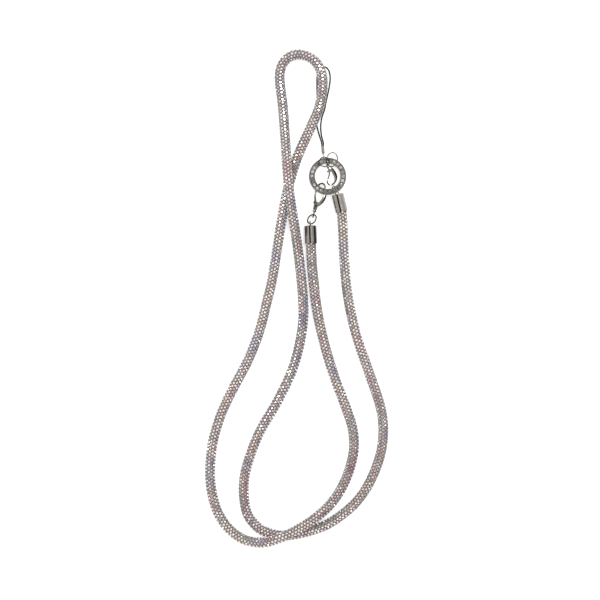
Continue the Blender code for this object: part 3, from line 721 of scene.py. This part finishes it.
def stone_colours_and_painted_light(settings, facts, rng):
    """Each stone's colour: pale on top, darker hues at the sides as painted shade, with patches of gold,
    wine and violet, and painted glints near the top.
    """
    pale, gold, wine, violet, shade_teal, shade_lavender, shade_rose = (
        np.array(getattr(settings, name))
        for name in ("pale", "gold", "wine", "violet", "shade_teal", "shade_lavender", "shade_rose")
    )
    rows = int(facts[:, 1].max()) + 1
    column = facts[:, 0].astype(int)
    row = facts[:, 1].astype(int)
    across, upwards, top = facts[:, 3], facts[:, 4], np.clip(facts[:, 5], 0.0, 1.0)
    columns = int(column.max()) + 1

    def patches(length, lanes, lane):
        return np.array([drift(rng, rows, settings.pitch, length) for _ in range(lanes)])[lane, row]

    warm = patches(GOLD_PATCH, columns, column)
    red = patches(WINE_PATCH, PATCH_LANES, column % PATCH_LANES)
    cold = patches(VIOLET_PATCH, PATCH_LANES, (column + 1) % PATCH_LANES)
    # Painted shade: the sides blend from the pale top into darker teal, lavender and rose by which way each
    # stone faces
    left = np.clip(-across, 0, 1) + np.clip(upwards, 0, 1) * UPWARDS_SHADE_TEAL
    shares = np.stack([left, np.clip(across, 0, 1), np.clip(-upwards, 0, 1)]) ** 1.5 + 1e-6
    shares = (shares / shares.sum(axis=0))[:, :, None]
    side_shade = shares[0] * shade_teal + shares[1] * shade_lavender + shares[2] * shade_rose
    colours = pale + (side_shade - pale) * ((1 - top**2) ** 0.75 * SIDE_SHADE_HUE)[:, None]
    for share, towards in (
        (np.clip(warm * 1.6, 0, 1) * (0.15 + 0.85 * top), gold),
        (np.clip(red * 2.2 - 0.8, 0, 1) * (0.4 + 0.6 * top), wine),
        (np.clip(cold * 2.2 - 0.9, 0, 1) * (0.5 + 0.5 * top), violet),
    ):
        share = np.clip(share + rng.normal(0.0, PATCH_GRAIN, len(share)), 0.0, 1.0)[:, None]
        colours = colours * (1 - share) + towards * share
    light = rng.uniform(*LIGHT_SPREAD, len(colours))[:, None]
    # Painted shade: stones are dimmed the further they face away from the top
    light *= (1 - SIDE_PAINTED_SHADE * (1 - top) ** 1.2)[:, None]
    # Painted highlights: stones facing near the top are, at random, painted near-white as glints
    chance = np.interp(top, PAINTED_GLINT_TOPS, PAINTED_GLINT_CHANCES)
    painted_glint = (rng.uniform(0, 1, len(colours)) < chance)[:, None]
    colours = np.where(painted_glint, colours * 0.3 + 0.64, colours * light)
    return np.clip(colours, 0.02, 0.97)


# Operators


class STRAP_OT_stage(Operator):
    """Lays the floor and sets the lights, the world and the camera"""

    bl_idname = "strap.stage"
    bl_label = "Stage"

    def execute(self, context):
        settings = context.scene.strap_stage
        bm = bmesh.new()
        bmesh.ops.create_grid(bm, x_segments=1, y_segments=1, size=3.0)
        floor = bpy.data.objects.new("floor", mesh_from(bm, "floor"))
        context.scene.collection.objects.link(floor)
        floor.data.materials.append(floor_material(settings.floor, settings.glow))
        floor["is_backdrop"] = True
        floor.location.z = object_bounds()[0][2] - 0.05 * MM

        world = bpy.data.worlds.new("studio")
        context.scene.world = world
        world.use_nodes = True
        nodes = world.node_tree.nodes
        links = world.node_tree.links
        sky = nodes["Background"]
        place = nodes.new("ShaderNodeTexCoord")
        open_share = None
        for towards, reach, soft, dimmed in TENT_GAPS:
            facing = nodes.new("ShaderNodeVectorMath")
            facing.operation = "DOT_PRODUCT"
            facing.inputs[1].default_value = Vector(towards).normalized()
            links.new(place.outputs["Generated"], facing.inputs[0])
            shade = nodes.new("ShaderNodeMapRange")
            shade.interpolation_type = "SMOOTHSTEP"
            shade.inputs["From Min"].default_value = math.cos(math.radians(reach + soft))
            shade.inputs["From Max"].default_value = math.cos(math.radians(reach - soft))
            shade.inputs["To Min"].default_value = 1.0
            shade.inputs["To Max"].default_value = dimmed
            links.new(facing.outputs["Value"], shade.inputs["Value"])
            if open_share is None:
                open_share = shade.outputs["Result"]
                continue
            both = nodes.new("ShaderNodeMath")
            both.operation = "MULTIPLY"
            links.new(open_share, both.inputs[0])
            links.new(shade.outputs["Result"], both.inputs[1])
            open_share = both.outputs["Value"]
        tint = nodes.new("ShaderNodeValToRGB")
        tint.color_ramp.elements[0].color = TENT_DARK
        tint.color_ramp.elements[1].color = TENT_LIGHT
        links.new(open_share, tint.inputs["Fac"])
        links.new(tint.outputs["Color"], sky.inputs["Color"])
        sky.inputs["Strength"].default_value = settings.sky

        for name, place, size, share in LIGHTS:
            light = bpy.data.lights.new(name, "AREA")
            light.size = size
            light.energy = settings.key * share
            lamp = bpy.data.objects.new(name, light)
            lamp.location = place
            lamp.rotation_euler = (-Vector(place)).to_track_quat("-Z", "Y").to_euler()
            context.scene.collection.objects.link(lamp)

        camera = bpy.data.objects.new("camera", bpy.data.cameras.new("camera"))
        context.scene.collection.objects.link(camera)
        camera.location = (CAMERA_PLACE[0] + SHIFT[0], CAMERA_PLACE[1] + SHIFT[1], settings.camera_height)
        reach = settings.camera_height - ROPE_RADIUS
        camera.data.angle = 2 * math.atan(settings.frame_width / 2 / reach)
        camera.data.clip_start = 0.05
        context.scene.camera = camera
        context.scene.view_settings.view_transform = "Standard"
        return {"FINISHED"}


class STRAP_OT_cord(Operator):
    """Lays the black cord's loop from the crimp and back into it"""

    bl_idname = "strap.cord"
    bl_label = "Cord"

    def execute(self, context):
        settings = context.scene.strap_cord
        first, last = (np.array(end) * MM for end in CORD_ENDS)
        lead = np.array(CORD_LEAD) * MM
        low = CORD_DIAMETER / 2 + 0.05 * MM
        route = [np.array([x * MM, y * MM, low]) for x, y in CORD_ROUTE]
        for near_end in (route[0], route[-1]):
            near_end[2] += (first[2] - low) * 0.22
        rows = [first, first + lead] + route + [last + lead, last]
        line = smooth_line(rows, 0.6 * MM) + SHIFT
        mesh = tube_along("woven_cord", line, CORD_DIAMETER / 2, 3)
        map_tube(mesh, line, CORD_DIAMETER)
        mesh.shade_smooth()
        thread = woven("black_thread", settings.colour, 3.0, 6.0)
        cord = new_piece("woven_cord", mesh, thread)
        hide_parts("lariat_cord")
        return {"FINISHED"}


class STRAP_OT_rope_core(Operator):
    """Builds the rope's cloth tube, which shows between the stones"""

    bl_idname = "strap.rope_core"
    bl_label = "Rope Core"

    def execute(self, context):
        settings = context.scene.strap_rope
        line = ROPE_LINE[::2]
        if len(ROPE_LINE) % 2 == 0:
            line = np.vstack([line, ROPE_LINE[-1:]])
        radius = ROPE_RADIUS - settings.stone_height - CLOTH_DEPTH
        mesh = tube_along("rope_cloth", line, radius, 8)
        map_tube(mesh, line, ROPE_DIAMETER)
        mesh.shade_smooth()
        cloth = woven("cloth_tube", settings.cloth, 9.0, 16.0)
        core = new_piece("rope_cloth", mesh, cloth)
        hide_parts("strap_rope_a", "strap_rope_b")
        return {"FINISHED"}


class STRAP_OT_rope_stones(Operator):
    """Covers the rope with small cut stones in low cups"""

    bl_idname = "strap.rope_stones"
    bl_label = "Rope Stones"

    def execute(self, context):
        settings = context.scene.strap_rope
        rng = np.random.default_rng(7)
        places, facts = stone_places(settings)
        matrices = stone_matrices(places, rng)
        colours = stone_colours_and_painted_light(settings, facts, rng)
        stone = cut_stone(settings.stone_radius, settings.stone_height)
        cup = stone_cup(settings.stone_radius, settings.stone_height * CUP_HEIGHT_SHARE)
        glass = coated_stone("coated_stone")
        plate = polished_metal("cup_plate", CUP_COLOUR, CUP_ROUGHNESS)
        half = facts[:, 2] < (facts[:, 2].min() + facts[:, 2].max()) / 2
        for part, chosen in (("first", half), ("second", ~half)):
            mesh = copies("rope_stones_" + part, stone, matrices[chosen], colours[chosen])
            new_piece("rope_stones_" + part, mesh, glass)
            mesh = copies("rope_cups_" + part, cup, matrices[chosen])
            new_piece("rope_cups_" + part, mesh, plate)
        return {"FINISHED"}


class STRAP_OT_metal(Operator):
    """Gives the caps, rings, clasps and crimp their polished metal, and the ring's stones their glass"""

    bl_idname = "strap.metal"
    bl_label = "Metal and Glass"

    def execute(self, context):
        settings = context.scene.strap_metal
        plate = polished_metal("polished_plate", settings.colour, settings.roughness)
        # Painted shade: wires, ring, clasps and levers are copies of the same plate painted darker
        shades = {
            "wire_plate_painted_shade": (WIRE_PAINTED_SHADE, settings.roughness),
            "ring_plate_painted_shade": (RING_PAINTED_SHADE, 0.2),
            "cast_clasp": (CLASP_PAINTED_SHADE, 0.1),
            "cast_lever": (LEVER_PAINTED_SHADE, 0.1),
        }
        metals = {
            name: polished_metal(name, [c * shade for c in settings.colour], roughness)
            for name, (shade, roughness) in shades.items()
        }
        glass = clear_stone("ring_glass")
        for name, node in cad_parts.items():
            if node.hide_render:
                continue
            if name.startswith("ring_stone"):
                finish = glass
            elif name in WIRES:
                finish = metals["wire_plate_painted_shade"]
            elif name == "studded_ring":
                finish = metals["ring_plate_painted_shade"]
            elif name.endswith("_lever"):
                finish = metals["cast_lever"]
            elif name.endswith("_clasp"):
                finish = metals["cast_clasp"]
            else:
                finish = plate
            node.data.materials.clear()
            node.data.materials.append(finish)
        return {"FINISHED"}


class STRAP_OT_ring_grains(Operator):
    """Sets pairs of small metal grains between the stones in the studded ring's channel"""

    bl_idname = "strap.ring_grains"
    bl_label = "Ring Grains"

    def execute(self, context):
        settings = context.scene.strap_metal
        stones = [node for name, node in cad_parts.items() if name.startswith("ring_stone")]
        centre = Vector(RING_CENTRE) * MM
        bm = bmesh.new()
        bmesh.ops.create_icosphere(bm, subdivisions=2, radius=RING_GRAIN)
        grain = mesh_from(bm, "ring_grain")
        places = []
        for k in range(len(stones)):
            angle = math.tau * (k + 0.5) / len(stones)
            for reach in RING_GRAIN_REACHES:
                place = np.eye(4)
                place[:3, 3] = centre + Vector((math.cos(angle), math.sin(angle), 0.0)) * reach
                places.append(place)
        mesh = copies("ring_grains", grain, np.array(places))
        mesh.shade_smooth()
        # Painted highlight: the grains are the polished plate painted lighter
        bright = [c * GRAIN_PAINTED_HIGHLIGHT for c in settings.colour]
        plate = polished_metal("grain_plate_painted_highlight", bright, settings.roughness)
        new_piece("ring_grains", mesh, plate)
        return {"FINISHED"}


class STRAP_PT_panel(Panel):
    """Lists the strap's pieces and their settings"""

    bl_label = "Stone Rope Strap"
    bl_idname = "STRAP_PT_panel"
    bl_space_type = "VIEW_3D"
    bl_region_type = "UI"
    bl_category = "Strap"

    def draw(self, context):
        layout = self.layout
        scene = context.scene
        for settings in (scene.strap_stage, scene.strap_rope, scene.strap_metal, scene.strap_cord):
            box = layout.box()
            for name in settings.__annotations__:
                box.prop(settings, name)
        for operator in OPERATORS:
            layout.operator(operator.bl_idname)


SETTINGS = {
    "strap_rope": StrapRopeSettings,
    "strap_metal": StrapMetalSettings,
    "strap_cord": StrapCordSettings,
    "strap_stage": StrapStageSettings,
}
OPERATORS = (
    STRAP_OT_stage,
    STRAP_OT_cord,
    STRAP_OT_rope_core,
    STRAP_OT_rope_stones,
    STRAP_OT_ring_grains,
    STRAP_OT_metal,
)


def register():
    for group in SETTINGS.values():
        bpy.utils.register_class(group)
    for name, group in SETTINGS.items():
        setattr(bpy.types.Scene, name, PointerProperty(type=group))
    for operator in OPERATORS:
        bpy.utils.register_class(operator)
    bpy.utils.register_class(STRAP_PT_panel)


def unregister():
    bpy.utils.unregister_class(STRAP_PT_panel)
    for operator in reversed(OPERATORS):
        bpy.utils.unregister_class(operator)
    for name in SETTINGS:
        delattr(bpy.types.Scene, name)
    for group in SETTINGS.values():
        bpy.utils.unregister_class(group)


def main():
    """Builds every piece on the frame."""
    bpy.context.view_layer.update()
    register()
    bpy.ops.strap.stage()
    bpy.ops.strap.cord()
    bpy.ops.strap.rope_core()
    bpy.ops.strap.rope_stones()
    bpy.ops.strap.ring_grains()
    bpy.ops.strap.metal()


if __name__ == "__main__":
    main()
